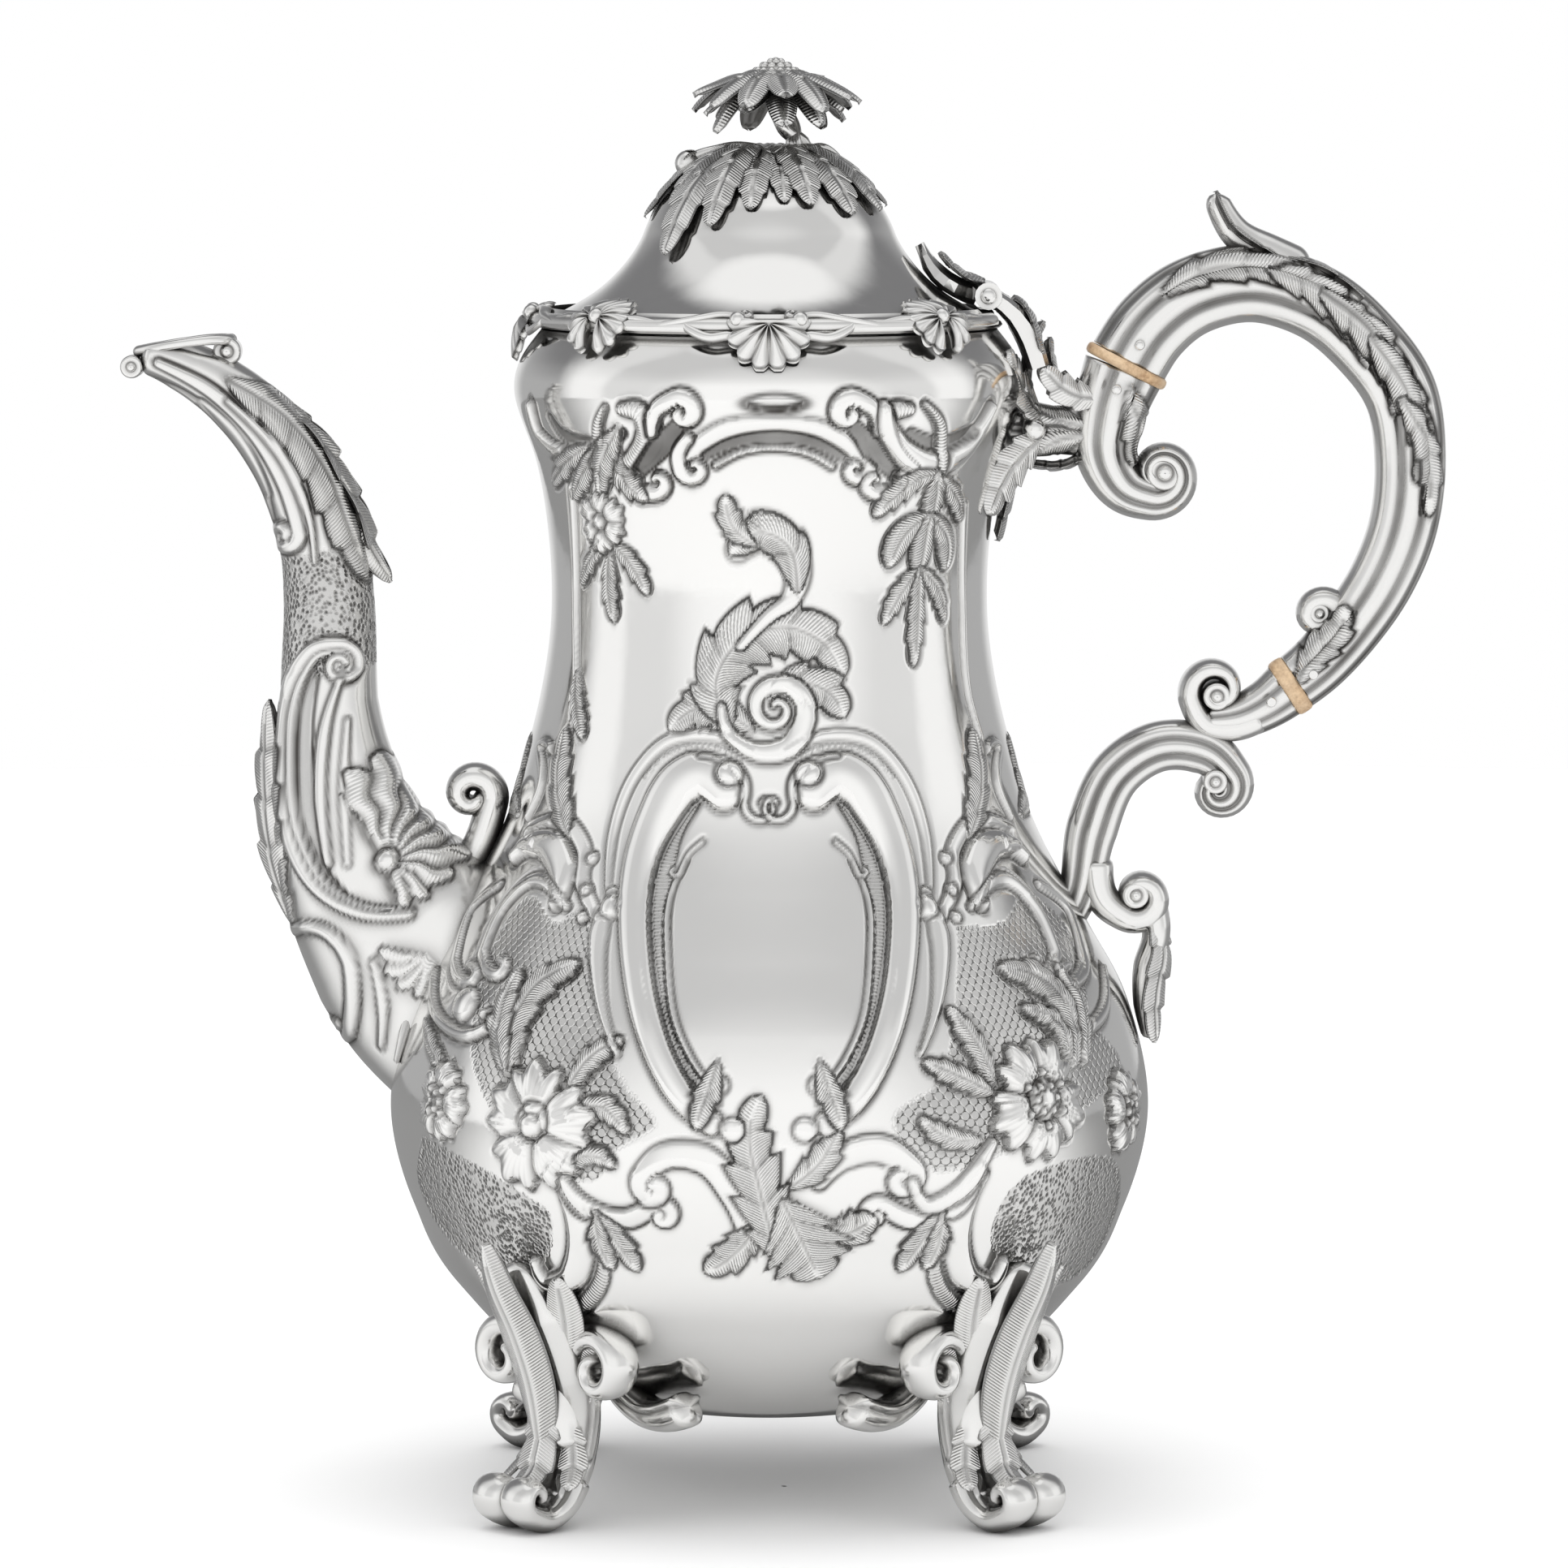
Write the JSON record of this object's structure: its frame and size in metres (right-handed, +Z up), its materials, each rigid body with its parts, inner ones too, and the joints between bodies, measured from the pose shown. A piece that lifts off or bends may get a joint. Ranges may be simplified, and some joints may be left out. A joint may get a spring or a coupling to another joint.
{
  "type": "coffee pot",
  "caption": "Pear-shaped silver coffee pot with a curved spout, hinged domed lid with a flower finial, scroll handle with insulating rings, and cast scroll feet.",
  "frame": {"origin": "centre of the whole object's outline seen from above, on the surface that the feet stand on", "axes": "+Z up, spout towards -X, handle towards +X; the body's own axis is 2.7 mm towards -X from the origin"},
  "size_m": [0.244, 0.1428, 0.2655],
  "materials": {
    "silver_sheet": "polished silver, chased decoration with darkened recesses",
    "silver_cast": "polished cast silver with darkened recesses",
    "insulator": "satin, warm ivory with brown grain"
  },
  "bodies": {
    "pot": {"body_base": "silver_sheet", "body_belly": "silver_sheet", "body_neck": "silver_sheet", "mouth_ring": "silver_sheet", "spout": "silver_cast", "foot_front_left": "silver_cast", "foot_front_right": "silver_cast", "foot_back_right": "silver_cast", "foot_back_left": "silver_cast", "hinge_bracket": "silver_cast", "hinge_pin": "silver_cast", "handle_upper_socket": "silver_cast", "insulator_upper": "insulator", "handle_grip": "silver_cast", "insulator_lower": "insulator", "handle_lower_socket": "silver_cast", "upper_socket_rivet": "silver_cast", "grip_upper_rivet": "silver_cast", "grip_lower_rivet": "silver_cast", "lower_socket_rivet": "silver_cast"},
    "lid": {"lid": "silver_sheet", "lid_bezel": "silver_sheet", "lid_border": "silver_cast", "hinge_leaf": "silver_cast", "finial_stem": "silver_cast", "finial_flower": "silver_cast", "finial_flower_centre": "silver_cast", "finial_leaf_spray_left": "silver_cast", "finial_leaf_spray_right": "silver_cast", "finial_bud": "silver_cast", "finial_stud": "silver_cast", "finial_washer": "silver_cast", "finial_nut": "silver_cast"}
  },
  "joints": [
    {"name": "lid_hinge", "type": "hinge", "parent": "pot", "child": "lid", "pos_m": [0.0374, 0, 0.2217], "axis": [0, 1, 0], "range_deg": [0, 90]}
  ]
}
